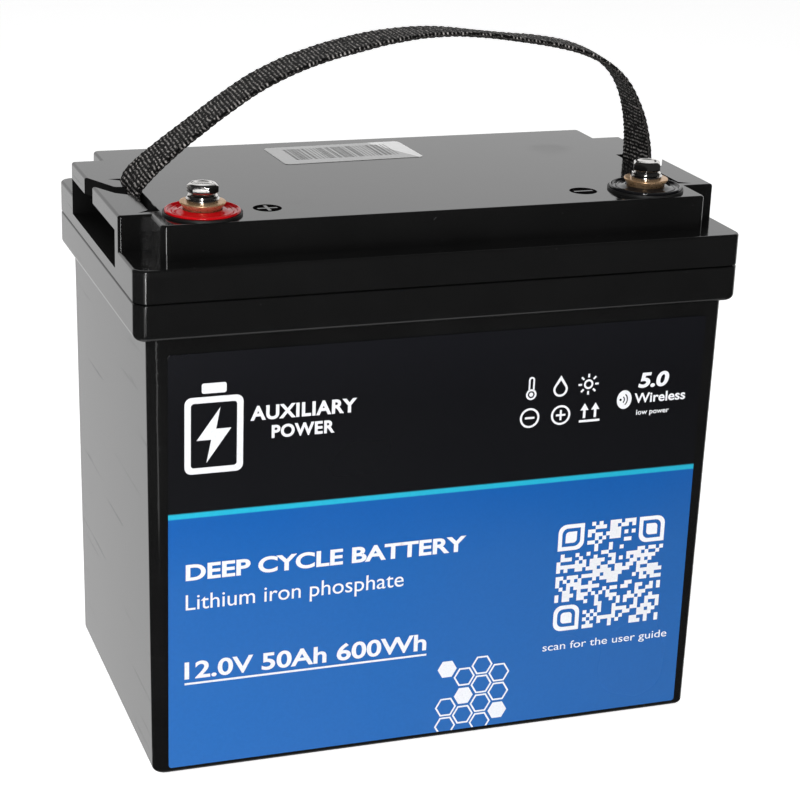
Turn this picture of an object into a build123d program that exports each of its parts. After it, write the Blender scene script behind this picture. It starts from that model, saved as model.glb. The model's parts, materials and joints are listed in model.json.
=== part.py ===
"""Deep cycle battery: a sealed lithium battery in a lidded plastic case.

Millimetres, +Z up.  The origin is the middle of the case's bottom face.
X runs along the length, and the label and the terminals are at the front, -Y.
"""
from build123d import *
import math
import os

# ---- driving dimensions ------------------------------------------------------
RIM_LENGTH = 230.4            # over the collar and the lid flange
RIM_DEPTH = 138.0
RIM_CORNER = 5.0
BODY_LENGTH_TOP = 220.9       # the body tapers a little towards its foot
BODY_LENGTH_FOOT = 217.4
BODY_DEPTH = 134.0
BODY_CORNER = 4.5
WALL = 2.8
END_WALL = 3.5
COLLAR_WALL = 4.0

COLLAR_Z = 169.0              # underside of the collar
PARTING_Z = 182.4             # container below, lid above
FLANGE_Z = 194.8              # top of the lid's flange
SEAM_HEIGHT = 0.7             # shadow gap between container and lid
SEAM_DEPTH = 1.2
LID_TOP_Z = 207.6

LID_BLOCK_X = 103.5           # half sizes of the raised block
LID_BLOCK_Y = 59.0
END_BLOCK_Y = 42.4            # half width of the block at each end of the lid
LID_SKIN = 3.0

POCKET_FRONT_Y = -36.5        # side pocket, open outwards under the end block
POCKET_REAR_Y = 41.0
POCKET_FLOOR_Z = 187.3
POCKET_ROOF_Z = 201.2
POCKET_INNER_X = 95.5

SLOT_INNER_X = 99.4           # slot for the strap, through the pocket's roof
SLOT_OUTER_X = 103.2
SLOT_FRONT_Y = -36.3
SLOT_REAR_Y = 8.3

STRAP_WIDTH = 22.0
STRAP_THICKNESS = 2.0
STRAP_Y = -1.5
STRAP_X = 100.8
SWING_Z = 219.4               # height about which the webbing folds over
SWING_RADIUS = 11.3
BAR_Z = 194.3                 # bars that hold the webbing's ends in the pockets
BAR_RADIUS = 2.5
BAR_LENGTH = 32.0
LOOP_RADIUS = 4.6

TERMINAL_X = 85.5
TERMINAL_Y = -44.6
PAD_TOP_Z = 212.2             # top of the brass collar
PAD_RADIUS = 8.3
THREAD_RADIUS = 3.0           # M6
BOLT_CLEARANCE = 0.05
BOLT_REACH = 14.0             # shank below the head's washers
INSERT_RADIUS = 7.0
STEM_RADIUS = 5.0             # lower end of the insert, inside the lid
STEM_FOOT_Z = 184.0
NUT_FOOT_Z = 191.4
NUT_HEIGHT = 4.6
NUT_RADIUS = 7.5
LUG_Z = 196.0                 # cable lug clamped over the nut
RING_RADIUS = 13.5            # coloured ring round the brass collar
RING_HEIGHT = 1.1
SEAL_RADIUS = 14.2            # rubber ring under it
SEAL_HEIGHT = 0.8
RING_TEETH = 12
WASHER_HEIGHT = 1.0
SPRING_HEIGHT = 1.4
HEAD_HEIGHT = 4.0
HEAD_RADIUS = 5.77
HEAD_TURNS = {-1: 39, 1: 6}   # degrees, by side

MARK_X = 61.2                 # round plus and minus marks in the lid
MARK_Y = -42.2
MARK_RADIUS = 5.2
MARK_DEPTH = 1.4

STICKER_X = -7.7
STICKER_Y = 36.0
STICKER_LENGTH = 57.5
STICKER_DEPTH = 28.5
STICKER_TURN = 2.4            # degrees
STICKER_THICKNESS = 0.15

LABEL_WIDTH = 207.0
LABEL_FOOT_Z = 2.4
LABEL_TOP_Z = 163.6
LABEL_THICKNESS = 0.3
LABEL_CORNER = 1.2

CELL_LENGTH = 148.0
CELL_THICKNESS = 26.7
CELL_HEIGHT = 129.8
CELL_PITCH = 27.2
CELL_COUNT = 4
CELL_X = -28.5                # centre of the stack, left of the electronics
CELL_FOOT_Z = 8.0
CELL_TERMINAL_X = 54.0        # either side of the cell's middle
CELL_TERMINAL_HEIGHT = 2.4
CELL_TOP_Z = CELL_FOOT_Z + CELL_HEIGHT
CELL_HOLE_RADIUS = 2.5
SHEET_HALF_LENGTH = 73.0      # insulation and end plates along the cells
PLATE_HEIGHT = 126.0
PLATE_THICKNESS = 3.0
BAND_HEIGHTS = (42, 104)
BAND_WIDTH = 12.0
LINK_THICKNESS = 2.0

FLOOR_Z = 3.0                 # inside of the case's bottom
CRADLE_X = 49.6
SPREADER_X = 53.6
SPREADER_THICKNESS = 4.0
BOARD_X = 62.0
BOARD_THICKNESS = 1.6
BOARD_FOOT_Z = 16.0
BOARD_TOP_Z = 132.0
BOARD_HALF_WIDTH = 46.0
BOARD_HOLES = [(y, z) for y in (-41, 41) for z in (22, 122)]
BOARD_HOLE_RADIUS = 1.7

CABLE_RADIUS = 3.2
LUG_SOCKET = 12.5             # from a lug's hole to where its cable starts
LUG_THICKNESS = 1.6
LUG_BARREL_RADIUS = 4.4
BARREL_OFFSET = 4.4           # barrel of a board lug, from the board's face
CABLE_LIFT = 3.6              # middle of a flat lug's barrel over its underside

os.makedirs("parts", exist_ok=True)


# ---- helpers -----------------------------------------------------------------
def block(x0, x1, y0, y1, z0, z1):
    """Plain box between two corners."""
    centre = Pos((x0 + x1) / 2, (y0 + y1) / 2, (z0 + z1) / 2)
    return centre * Box(x1 - x0, y1 - y0, z1 - z0)


def rounded_block(length, depth, corner, z0, z1, x=0.0, y=0.0):
    """Upright block with rounded vertical corners."""
    return extrude(Pos(x, y, z0) * RectangleRounded(length, depth, corner), z1 - z0)


def disc(radius, z0, z1, x=0.0, y=0.0):
    return Pos(x, y, (z0 + z1) / 2) * Cylinder(radius, z1 - z0)


def ring(outer, inner, z0, z1, x=0.0, y=0.0):
    return disc(outer, z0, z1, x, y) - disc(inner, z0 - 1, z1 + 1, x, y)


def rod(radius, x0, x1, y, z):
    """Round bar that lies along X."""
    return Pos((x0 + x1) / 2, y, z) * Rot(0, 90, 0) * Cylinder(radius, x1 - x0)


def prism(points, z0, z1):
    """Upright prism over a plain outline."""
    outline = make_face(Polyline(*[(x, y, z0) for x, y in points], close=True))
    return extrude(outline, z1 - z0, dir=(0, 0, 1))


def edges_at(solid, z, tolerance=0.05):
    """Every edge that lies wholly at one height."""
    low, high = z - tolerance, z + tolerance
    return [e for e in solid.edges()
            if low < e.bounding_box().min.Z and e.bounding_box().max.Z < high]


def both_ends(piece):
    """One piece at the left end and its mirror image at the right end."""
    return piece, mirror(piece, Plane.YZ)


def group(solids):
    """Separate solids kept together in one node."""
    flat = []
    for item in solids:
        flat.extend(item.solids())
    return Compound(children=flat)


def write(name, shape):
    shape.label = name
    export_step(shape, f"parts/{name}.step")
    print(name, round(sum(s.volume for s in shape.solids())))


def corner_radii(points):
    """The largest arc at each corner that the two runs beside it allow."""
    radii = []
    for before, here, after in zip(points, points[1:], points[2:]):
        run_in = Vector(here) - Vector(before)
        run_out = Vector(after) - Vector(here)
        half_turn = math.radians(run_in.get_angle(run_out) / 2)
        radii.append(0.45 * min(run_in.length, run_out.length) / math.tan(half_turn))
    return radii


def tube(points, radius):
    """Round cable along straight runs joined by tangent arcs."""
    path = FilletPolyline(*points, radius=corner_radii(points))
    start = Plane(origin=path @ 0, z_dir=path % 0)
    cable = sweep(start * Circle(radius), path=path)
    wanted = math.pi * radius ** 2 * path.length
    print("   cable volume over section times length:", round(cable.volume / wanted, 4))
    return cable


# ---- case --------------------------------------------------------------------
def container():
    foot = Plane.XY * RectangleRounded(BODY_LENGTH_FOOT, BODY_DEPTH, BODY_CORNER)
    top = Pos(0, 0, COLLAR_Z + 2) * RectangleRounded(BODY_LENGTH_TOP, BODY_DEPTH, BODY_CORNER)
    outside = loft([foot, top])
    outside = fillet(edges_at(outside, 0), 1.6)
    collar = rounded_block(RIM_LENGTH, RIM_DEPTH, RIM_CORNER, COLLAR_Z, PARTING_Z)
    collar = fillet(edges_at(collar, COLLAR_Z), 2.4)
    collar = fillet(edges_at(collar, PARTING_Z), 0.5)
    inside = rounded_block(BODY_LENGTH_FOOT - 2 * END_WALL, BODY_DEPTH - 2 * WALL, 2.5, 3.0, 190)
    mouth = rounded_block(RIM_LENGTH - 2 * COLLAR_WALL, RIM_DEPTH - 2 * COLLAR_WALL, 3,
                          COLLAR_Z + 3, 190)
    return outside + collar - inside - mouth - lid_groove(PARTING_Z - 1.6, PARTING_Z + 1)


def lid_groove(z0, z1, trim=0.0):
    """Ring that runs round the middle of the collar's top face."""
    middle = COLLAR_WALL
    outer = rounded_block(RIM_LENGTH - middle + 1.6 - trim, RIM_DEPTH - middle + 1.6 - trim,
                          4.5, z0, z1)
    inner = rounded_block(RIM_LENGTH - middle - 1.6 + trim, RIM_DEPTH - middle - 1.6 + trim,
                          3.5, z0 - 1, z1 + 1)
    return outer - inner


def strap_slot():
    """Left slot, with its splayed ends and the gap that leads in from the edge."""
    splay = 4.2
    channel = prism([(-SLOT_INNER_X, SLOT_FRONT_Y - 2.2), (-SLOT_INNER_X, SLOT_REAR_Y + 3.2),
                     (-SLOT_OUTER_X - splay, SLOT_REAR_Y + 3.2), (-SLOT_OUTER_X, SLOT_REAR_Y),
                     (-SLOT_OUTER_X, SLOT_FRONT_Y),
                     (-SLOT_OUTER_X - splay, SLOT_FRONT_Y - 3.2)],
                    POCKET_ROOF_Z - 1, LID_TOP_Z + 1)
    way_in = prism([(-116, 3.5), (-109.4, -9.7), (-104.7, -13.7), (-100.5, -15.5),
                    (-100.5, -2.0), (-106.6, -0.9), (-107.6, -0.4), (-116, 18.5)],
                   POCKET_ROOF_Z - 1, LID_TOP_Z + 1)
    return channel + way_in


def side_pocket():
    return block(-RIM_LENGTH, -POCKET_INNER_X, POCKET_FRONT_Y, POCKET_REAR_Y,
                 POCKET_FLOOR_Z, POCKET_ROOF_Z)


def polarity_mark(x, plus):
    """Round recess with a sign that stands in it."""
    y = MARK_Y
    long, short = 3.7, 0.6
    foot = LID_TOP_Z - MARK_DEPTH - 0.5
    recess = disc(MARK_RADIUS, LID_TOP_Z - MARK_DEPTH, LID_TOP_Z + 1, x, y)
    sign = block(x - long, x + long, y - short, y + short, foot, LID_TOP_Z)
    if plus:
        sign = sign + block(x - short, x + short, y - long, y + long, foot, LID_TOP_Z)
    return recess - sign


def lid():
    flange = rounded_block(RIM_LENGTH, RIM_DEPTH, RIM_CORNER, PARTING_Z, FLANGE_Z)
    flange = fillet(edges_at(flange, FLANGE_Z), 1.0)
    main = rounded_block(2 * LID_BLOCK_X, 2 * LID_BLOCK_Y, 2.2, FLANGE_Z - 4, LID_TOP_Z)
    ends = rounded_block(RIM_LENGTH, 2 * END_BLOCK_Y, 1.2, FLANGE_Z - 4, LID_TOP_Z)
    raised = main + ends
    raised = fillet(edges_at(raised, LID_TOP_Z), 1.0)
    outside = flange + raised

    hollow_x = POCKET_INNER_X - LID_SKIN
    hollow = block(-hollow_x, hollow_x, -LID_BLOCK_Y + LID_SKIN, LID_BLOCK_Y - LID_SKIN,
                   PARTING_Z - 1, LID_TOP_Z - LID_SKIN)
    skirt = rounded_block(RIM_LENGTH - 2 * COLLAR_WALL, RIM_DEPTH - 2 * COLLAR_WALL, 3,
                          PARTING_Z - 1, FLANGE_Z - LID_SKIN)
    pocket_shell = block(-RIM_LENGTH, -hollow_x, POCKET_FRONT_Y - LID_SKIN,
                         POCKET_REAR_Y + LID_SKIN, POCKET_FLOOR_Z - 2.3, LID_TOP_Z)
    for cut in both_ends(pocket_shell):
        skirt = skirt - cut
    shell = outside - hollow - skirt
    for cut in both_ends(side_pocket()) + both_ends(strap_slot()):
        shell = shell - cut
    for x in (-TERMINAL_X, TERMINAL_X):
        boss = disc(11.0, LID_TOP_Z - 8, LID_TOP_Z - LID_SKIN + 0.5, x, TERMINAL_Y)
        shell = shell + boss - disc(INSERT_RADIUS, 190, 215, x, TERMINAL_Y)
    shell = shell - polarity_mark(-MARK_X, True) - polarity_mark(MARK_X, False)
    seam = (rounded_block(RIM_LENGTH + 2, RIM_DEPTH + 2, RIM_CORNER, PARTING_Z, PARTING_Z + SEAM_HEIGHT)
            - rounded_block(RIM_LENGTH - 2 * SEAM_DEPTH, RIM_DEPTH - 2 * SEAM_DEPTH, RIM_CORNER - SEAM_DEPTH,
                            PARTING_Z - 1, PARTING_Z + 1))
    return shell - seam + lid_groove(PARTING_Z - 0.8, PARTING_Z, trim=0.2)


def lid_seal():
    """Bead of sealant in the groove, under the lid's tongue."""
    return lid_groove(PARTING_Z - 1.6, PARTING_Z - 0.8)


def front_label():
    y = -BODY_DEPTH / 2
    middle_z = (LABEL_FOOT_Z + LABEL_TOP_Z) / 2
    face = Plane(origin=(0, y, middle_z), x_dir=(1, 0, 0), z_dir=(0, -1, 0))
    sheet = face * RectangleRounded(LABEL_WIDTH, LABEL_TOP_Z - LABEL_FOOT_Z, LABEL_CORNER)
    return extrude(sheet, LABEL_THICKNESS)


def barcode_sticker():
    place = Pos(STICKER_X, STICKER_Y, LID_TOP_Z) * Rot(0, 0, STICKER_TURN)
    return extrude(place * RectangleRounded(STICKER_LENGTH, STICKER_DEPTH, 2.2),
                   STICKER_THICKNESS)


# ---- carrying strap ----------------------------------------------------------
def arch_points():
    """Middle line of the strap from the left slot to the right one, as (x, z)."""
    return [(-STRAP_X, 208.4), (-77.9, 229.0), (-49.6, 246.8), (-17.0, 257.6), (12.0, 261.0),
            (42.6, 259.4), (67.4, 254.8), (84.0, 248.6), (94.6, 238.0), (99.6, 224.0),
            (STRAP_X, 208.4)]


def carry_strap():
    """The free arch.  Its ends are rounded about the line on which it folds over."""
    half = STRAP_THICKNESS / 2
    line = Spline(*[(x, 0, z) for x, z in arch_points()])
    count = 36
    outer, inner = [], []
    for i in range(count + 1):
        at = line @ (i / count)
        along = line % (i / count)
        normal = Vector(-along.Z, 0, along.X)
        outer.append(at + normal * half)
        inner.append(at - normal * half)
    outline = make_face(Wire([Spline(*outer), Line(outer[-1], inner[-1]),
                              Spline(*reversed(inner)), Line(inner[0], outer[0])]))
    band = extrude(outline, STRAP_WIDTH / 2, both=True)
    band = Pos(0, STRAP_Y, 0) * band
    above = block(-120, 120, -30, 30, SWING_Z, 300)
    hub = Pos(0, STRAP_Y, SWING_Z) * Rot(0, 90, 0) * Cylinder(SWING_RADIUS, 260)
    return band & (above + hub)


def strap_end():
    """Left end of the webbing: up through the slot from a sewn loop."""
    place = Pos(-STRAP_X, STRAP_Y, BAR_Z) * Rot(90, 0, 0)
    tail = block(-STRAP_X - STRAP_THICKNESS / 2, -STRAP_X + STRAP_THICKNESS / 2,
                 STRAP_Y - STRAP_WIDTH / 2, STRAP_Y + STRAP_WIDTH / 2,
                 BAR_Z, LID_TOP_Z - 0.2)
    hole = place * Cylinder(BAR_RADIUS, STRAP_WIDTH + 2)
    return place * Cylinder(LOOP_RADIUS, STRAP_WIDTH) + tail - hole


def strap_bar():
    """Bar through the loop, too wide to pass up the slot."""
    return Pos(-STRAP_X, STRAP_Y, BAR_Z) * Rot(90, 0, 0) * Cylinder(BAR_RADIUS, BAR_LENGTH)


# ---- terminals ---------------------------------------------------------------
def terminal(x):
    """Every fixed piece of one terminal, by name."""
    y = TERMINAL_Y
    insert = disc(INSERT_RADIUS, LID_TOP_Z - 10, LID_TOP_Z, x, y)
    insert = insert + disc(PAD_RADIUS, LID_TOP_Z, PAD_TOP_Z, x, y)
    insert = insert + disc(STEM_RADIUS, STEM_FOOT_Z, LID_TOP_Z - 9, x, y)
    insert = chamfer(edges_at(insert, PAD_TOP_Z), 0.5)
    insert = insert - disc(THREAD_RADIUS, PAD_TOP_Z - BOLT_REACH - 2, PAD_TOP_Z + 1, x, y)

    seat_z = LID_TOP_Z + SEAL_HEIGHT
    cap_z = seat_z + RING_HEIGHT
    cap = ring(RING_RADIUS, PAD_RADIUS + 0.05, seat_z, cap_z, x, y)
    cap = fillet(edges_at(cap, cap_z), 0.4)
    cap = cap - ring(12.4, 9.2, cap_z - 0.5, cap_z + 1, x, y)
    tooth = block(8.8, 12.6, -0.4, 0.4, cap_z - 0.7, cap_z - 0.15)
    for i in range(RING_TEETH):
        cap = cap + Pos(x, y, 0) * Rot(0, 0, 360 / RING_TEETH * i) * tooth
    o_ring = ring(SEAL_RADIUS, 10.4, LID_TOP_Z, seat_z, x, y)

    hexagon = Pos(x, y, NUT_FOOT_Z) * Rot(0, 0, 30) * RegularPolygon(NUT_RADIUS, 6)
    nut = extrude(hexagon, NUT_HEIGHT) - disc(STEM_RADIUS, 180, 200, x, y)
    return {"insert": insert, "ring": cap, "o_ring": o_ring, "clamp_nut": nut}


def loose_pieces(x):
    """What comes off one terminal: two washers and the bolt."""
    y = TERMINAL_Y
    clear = THREAD_RADIUS - BOLT_CLEARANCE
    spring_z = PAD_TOP_Z + WASHER_HEIGHT
    head_z = spring_z + SPRING_HEIGHT
    flat = ring(6.0, 3.2, PAD_TOP_Z, spring_z, x, y)
    spring = ring(5.4, 3.2, spring_z, head_z, x, y)
    split = Pos(x, y, 0) * Rot(0, 0, 200) * block(3, 6, -0.35, 0.35, spring_z - 1, head_z + 1)
    turn = HEAD_TURNS[-1 if x < 0 else 1]
    hexagon = Pos(x, y, head_z) * Rot(0, 0, turn) * RegularPolygon(HEAD_RADIUS, 6)
    head = extrude(hexagon, HEAD_HEIGHT) & (Pos(x, y, head_z + HEAD_HEIGHT / 2) * Sphere(6.0))
    shank = disc(clear, PAD_TOP_Z - BOLT_REACH, head_z + 0.5, x, y)
    shank = chamfer(edges_at(shank, PAD_TOP_Z - BOLT_REACH), 0.6)
    return {"flat_washer": flat, "spring_washer": spring - split, "bolt": head + shank}


# ---- cells and what holds them -----------------------------------------------
def cell_y(i):
    return (i - (CELL_COUNT - 1) / 2) * CELL_PITCH


def cell(i):
    """Prismatic cell: aluminium can with a vent and two terminal blocks."""
    y = cell_y(i)
    top = CELL_TOP_Z
    can = rounded_block(CELL_LENGTH, CELL_THICKNESS, 2.0, CELL_FOOT_Z, top, CELL_X, y)
    can = fillet(edges_at(can, CELL_FOOT_Z), 1.0)
    vent = extrude(Pos(CELL_X, y, top - 0.4) * SlotOverall(20, 11), 2)
    can = can - vent
    for side in (-1, 1):
        x = CELL_X + side * CELL_TERMINAL_X
        can = can + rounded_block(22, 16, 2, top, top + CELL_TERMINAL_HEIGHT, x, y)
        can = can - disc(CELL_HOLE_RADIUS, top - 3, top + 5, x, y)
    return can


def insulation_sheets():
    """One sheet in each gap between two cells."""
    half = SHEET_HALF_LENGTH
    sheets = []
    for i in range(CELL_COUNT - 1):
        gap_y = (cell_y(i) + cell_y(i + 1)) / 2
        sheets.append(block(CELL_X - half, CELL_X + half, gap_y - 0.25, gap_y + 0.25,
                            CELL_FOOT_Z + 1, CELL_TOP_Z - 2))
    return group(sheets)


def end_plate(side):
    """Stiff board against the outer face of the first or last cell."""
    inner = CELL_PITCH * (CELL_COUNT - 1) / 2 + CELL_THICKNESS / 2
    near, far = sorted((side * inner, side * (inner + PLATE_THICKNESS)))
    groove_near, groove_far = sorted((side * (inner + PLATE_THICKNESS - 1), side * 70))
    half = SHEET_HALF_LENGTH
    groove_half = BAND_WIDTH / 2 + 0.5
    plate = block(CELL_X - half, CELL_X + half, near, far, CELL_FOOT_Z, CELL_FOOT_Z + PLATE_HEIGHT)
    for z in BAND_HEIGHTS:
        plate = plate - block(CELL_X - 80, CELL_X + 80, groove_near, groove_far,
                              z - groove_half, z + groove_half)
    return plate


def binding_bands():
    """Two steel bands round the stack, in the end plates' grooves."""
    inner = CELL_PITCH * (CELL_COUNT - 1) / 2 + CELL_THICKNESS / 2 + PLATE_THICKNESS - 1
    half = BAND_WIDTH / 2
    bands = []
    for z in BAND_HEIGHTS:
        outer = rounded_block(CELL_LENGTH + 1.6, 2 * inner + 1.6, 2.0, z - half, z + half, CELL_X)
        hole = rounded_block(CELL_LENGTH + 0.4, 2 * inner, 1.5, z - half - 1, z + half + 1, CELL_X)
        bands.append(outer - hole)
    return group(bands)


def series_busbars():
    """Three links with a bridge hump, alternately right, left and right."""
    z = CELL_TOP_Z + CELL_TERMINAL_HEIGHT
    bars = []
    for i in range(CELL_COUNT - 1):
        side = 1 if i % 2 == 0 else -1
        x = CELL_X + side * CELL_TERMINAL_X
        y = (cell_y(i) + cell_y(i + 1)) / 2
        bar = rounded_block(18, CELL_PITCH + 14, 3, z, z + LINK_THICKNESS, x, y)
        bar = bar + block(x - 9, x + 9, y - 5, y + 5, z + 1, z + 4)
        bar = bar - block(x - 10, x + 10, y - 3, y + 3, z - 1, z + 2)
        for end in (-1, 1):
            bar = bar - disc(2.6, z - 1, z + 3, x, y + end * CELL_PITCH / 2)
        bars.append(bar)
    return group(bars)


def cell_screws():
    """Eight equal screws that hold the links and the cable lugs down."""
    z = CELL_TOP_Z + CELL_TERMINAL_HEIGHT + LINK_THICKNESS
    screws = []
    for i in range(CELL_COUNT):
        for side in (-1, 1):
            x = CELL_X + side * CELL_TERMINAL_X
            head = disc(4.8, z, z + 3, x, cell_y(i))
            socket = extrude(Pos(x, cell_y(i), z + 1.2) * RegularPolygon(2.3, 6), 3)
            shank = disc(CELL_HOLE_RADIUS - 0.05, CELL_TOP_Z - 2.9, z + 1, x, cell_y(i))
            screws.append(head + shank - socket)
    return group(screws)


def base_pad():
    """Foam sheet under the cells."""
    return block(CELL_X - 70, CELL_X + 70, -52, 52, FLOOR_Z, CELL_FOOT_Z)


def top_pad():
    """Foam strip between the cells' middle and the lid's ceiling."""
    return block(CELL_X - 20, CELL_X + 20, -33, 33, CELL_TOP_Z, 158)


# ---- electronics -------------------------------------------------------------
def board_cradle():
    """Plastic cradle that the circuit board's plate screws to."""
    upright = block(CRADLE_X, SPREADER_X, -54, 54, FLOOR_Z, 136)
    foot = block(SPREADER_X - 0.6, 100, -54, 54, FLOOR_Z, 2 * FLOOR_Z)
    window = block(CRADLE_X - 1, SPREADER_X + 1, -40, 40, 30, 110)
    return upright + foot - window


def heat_spreader():
    """Aluminium plate with fins at the outer side."""
    plate = block(SPREADER_X, SPREADER_X + SPREADER_THICKNESS, -BOARD_HALF_WIDTH,
                  BOARD_HALF_WIDTH, BOARD_FOOT_Z, 128)
    for i in range(7):
        y = -30 + 10 * i
        plate = plate + block(SPREADER_X - 2.6, SPREADER_X + 0.4, y - 1, y + 1, 32, 108)
    for y, z in BOARD_HOLES:
        plate = plate - rod(BOARD_HOLE_RADIUS, 45, 65, y, z)
    return plate


def control_board():
    board = block(BOARD_X, BOARD_X + BOARD_THICKNESS, -BOARD_HALF_WIDTH, BOARD_HALF_WIDTH,
                  BOARD_FOOT_Z, BOARD_TOP_Z)
    for y, z in BOARD_HOLES:
        board = board - rod(BOARD_HOLE_RADIUS, BOARD_X - 5, BOARD_X + 5, y, z)
    return board


def board_spacers():
    """Four spacers that hold the board off the plate."""
    near = SPREADER_X + SPREADER_THICKNESS
    return group([rod(3.2, near, BOARD_X, y, z) - rod(BOARD_HOLE_RADIUS, near - 1, BOARD_X + 1, y, z)
                  for y, z in BOARD_HOLES])


def board_screws():
    """Four equal screws through board, spacer and plate."""
    face = BOARD_X + BOARD_THICKNESS
    return group([rod(BOARD_HOLE_RADIUS - 0.1, BOARD_X - 8, face, y, z) + rod(3.0, face, face + 2.4, y, z)
                  for y, z in BOARD_HOLES])


def power_transistors():
    """Two rows of switching transistors on the board's outer face."""
    bodies = []
    for z in (46, 66):
        for i in range(7):
            y = -33 + 11 * i
            bodies.append(block(BOARD_X + BOARD_THICKNESS, BOARD_X + 6.1,
                                y - 4, y + 4, z - 5, z + 5))
    return group(bodies)


def current_shunts():
    bars = []
    for i in range(4):
        y = -24 + 16 * i
        bars.append(block(BOARD_X + BOARD_THICKNESS, BOARD_X + 4.2, y - 3, y + 3, 84, 92))
    return group(bars)


def sense_connector():
    return block(BOARD_X + BOARD_THICKNESS, BOARD_X + 8.6, 14, 32, 112, 120)


def radio_module():
    """Small wireless board in a clear sleeve, under the lid."""
    return rounded_block(16, 28, 1.5, 175, 178.6, 70, 34)


def radio_bracket():
    """Shelf that carries the wireless board, screwed to the cradle."""
    shelf = block(CRADLE_X, 84, 17, 51, 172.4, 175)
    upright = block(CRADLE_X, SPREADER_X, 17, 51, 136, 173)
    return shelf + upright


# ---- cables ------------------------------------------------------------------
def flat_lug(x, y, z, turn=0):
    """Ring lug lying flat on the height z: its barrel towards +X, turned about Z."""
    reach = 12.0
    palm = disc(6.5, 0, LUG_THICKNESS)
    tongue = block(0, reach, -4.6, 4.6, 0, LUG_THICKNESS)
    barrel = rod(LUG_BARREL_RADIUS, reach - 1, reach + 11, 0, CABLE_LIFT)
    bore = rod(CABLE_RADIUS, reach - 2, reach + 12, 0, CABLE_LIFT)
    return Pos(x, y, z) * Rot(0, 0, turn) * (palm + tongue + barrel - bore)


def cables():
    """Three heavy cables and their six lugs."""
    lug_z = CELL_TOP_Z + CELL_TERMINAL_HEIGHT
    left = CELL_X - CELL_TERMINAL_X
    front, rear = cell_y(0), cell_y(CELL_COUNT - 1)
    pieces = {}

    lower = flat_lug(left, front, lug_z) - disc(2.6, 130, 150, left, front)
    upper = hanging_lug(flat_lug(-TERMINAL_X, TERMINAL_Y, LUG_Z))
    upper = upper - disc(STEM_RADIUS, 180, 205, -TERMINAL_X, TERMINAL_Y)
    pieces["positive_cable_lugs"] = group([lower, upper])
    low_x, low_z = left + LUG_SOCKET, lug_z + CABLE_LIFT
    high_x, high_z = -TERMINAL_X + LUG_SOCKET, LUG_Z + LUG_THICKNESS - CABLE_LIFT
    pieces["positive_cable"] = tube([(low_x, front, low_z), (-46, front, low_z),
                                     (-30, -42, 160), (-30, -43, 178),
                                     (-46, TERMINAL_Y, high_z), (high_x, TERMINAL_Y, high_z)],
                                    CABLE_RADIUS)

    upper = hanging_lug(flat_lug(TERMINAL_X, TERMINAL_Y, LUG_Z, 90))
    upper = upper - disc(STEM_RADIUS, 180, 205, TERMINAL_X, TERMINAL_Y)
    board_lug_x = BOARD_X + BOARD_THICKNESS
    out_lug = standing_lug(board_lug_x, -20, 118)
    pieces["negative_cable_lugs"] = group([upper, out_lug])
    board_cable_x = board_lug_x + BARREL_OFFSET
    pieces["negative_cable"] = tube([(TERMINAL_X, TERMINAL_Y + LUG_SOCKET, high_z),
                                     (TERMINAL_X, -10, high_z), (TERMINAL_X, 5, 182),
                                     (80, 3, 164), (71, -12, 152), (board_cable_x, -20, 145),
                                     (board_cable_x, -20, 129)], CABLE_RADIUS)

    lower = flat_lug(left, rear, lug_z) - disc(2.6, 130, 150, left, rear)
    in_lug = standing_lug(board_lug_x, 2, 118)
    pieces["stack_cable_lugs"] = group([lower, in_lug])
    pieces["stack_cable"] = tube([(low_x, rear, low_z), (-48, rear, low_z), (-26, 45, 150),
                                  (0, 39, 152), (24, 27, 153), (44, 11, 154), (58, 4, 152),
                                  (board_cable_x, 2, 145), (board_cable_x, 2, 129)],
                                 CABLE_RADIUS)
    return pieces


def hanging_lug(lug):
    """The same lug at the clamp nut's height, its barrel below its palm."""
    return mirror(lug, Plane(origin=(0, 0, LUG_Z + LUG_THICKNESS / 2), z_dir=(0, 0, 1)))


def standing_lug(x, y, z):
    """Lug bolted flat to the board, its barrel straight up."""
    palm = rod(6.0, x, x + LUG_THICKNESS, y, z)
    tongue = block(x, x + LUG_THICKNESS, y - 4.4, y + 4.4, z, z + 10)
    barrel = Pos(x + BARREL_OFFSET, y, z + 14) * Cylinder(CABLE_RADIUS + 0.9, 10)
    bore = Pos(x + BARREL_OFFSET, y, z + 14) * Cylinder(CABLE_RADIUS, 12)
    return palm + tongue + barrel - bore


def main():
    write("container", container())
    write("lid", lid())
    write("lid_seal", lid_seal())
    write("front_label", front_label())
    write("barcode_sticker", barcode_sticker())
    write("carry_strap", carry_strap())
    for name, make in (("strap_end", strap_end), ("strap_bar", strap_bar)):
        left, right = both_ends(make())
        write(name + "_left", left)
        write(name + "_right", right)
    for side, x in (("positive", -TERMINAL_X), ("negative", TERMINAL_X)):
        for name, shape in (terminal(x) | loose_pieces(x)).items():
            write(f"{side}_{name}", shape)
    for i in range(CELL_COUNT):
        write(f"cell_{i + 1}", cell(i))
    write("insulation_sheets", insulation_sheets())
    write("end_plate_front", end_plate(-1))
    write("end_plate_rear", end_plate(1))
    write("binding_bands", binding_bands())
    write("series_busbars", series_busbars())
    write("cell_screws", cell_screws())
    write("base_pad", base_pad())
    write("top_pad", top_pad())
    write("board_cradle", board_cradle())
    write("heat_spreader", heat_spreader())
    write("control_board", control_board())
    write("board_spacers", board_spacers())
    write("board_screws", board_screws())
    write("power_transistors", power_transistors())
    write("current_shunts", current_shunts())
    write("sense_connector", sense_connector())
    write("radio_module", radio_module())
    write("radio_bracket", radio_bracket())
    for name, shape in cables().items():
        write(name, shape)


main()
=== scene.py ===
"""Looks of the deep cycle battery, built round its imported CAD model.

Blender units are metres, in the CAD model's frame: +X along the case towards the
negative terminal, -Y the labelled front, +Z up.  Helpers take millimetres.
"""
import json
import math
import random

import bmesh
import bpy
import numpy as np
from mathutils import Matrix, Vector

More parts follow.
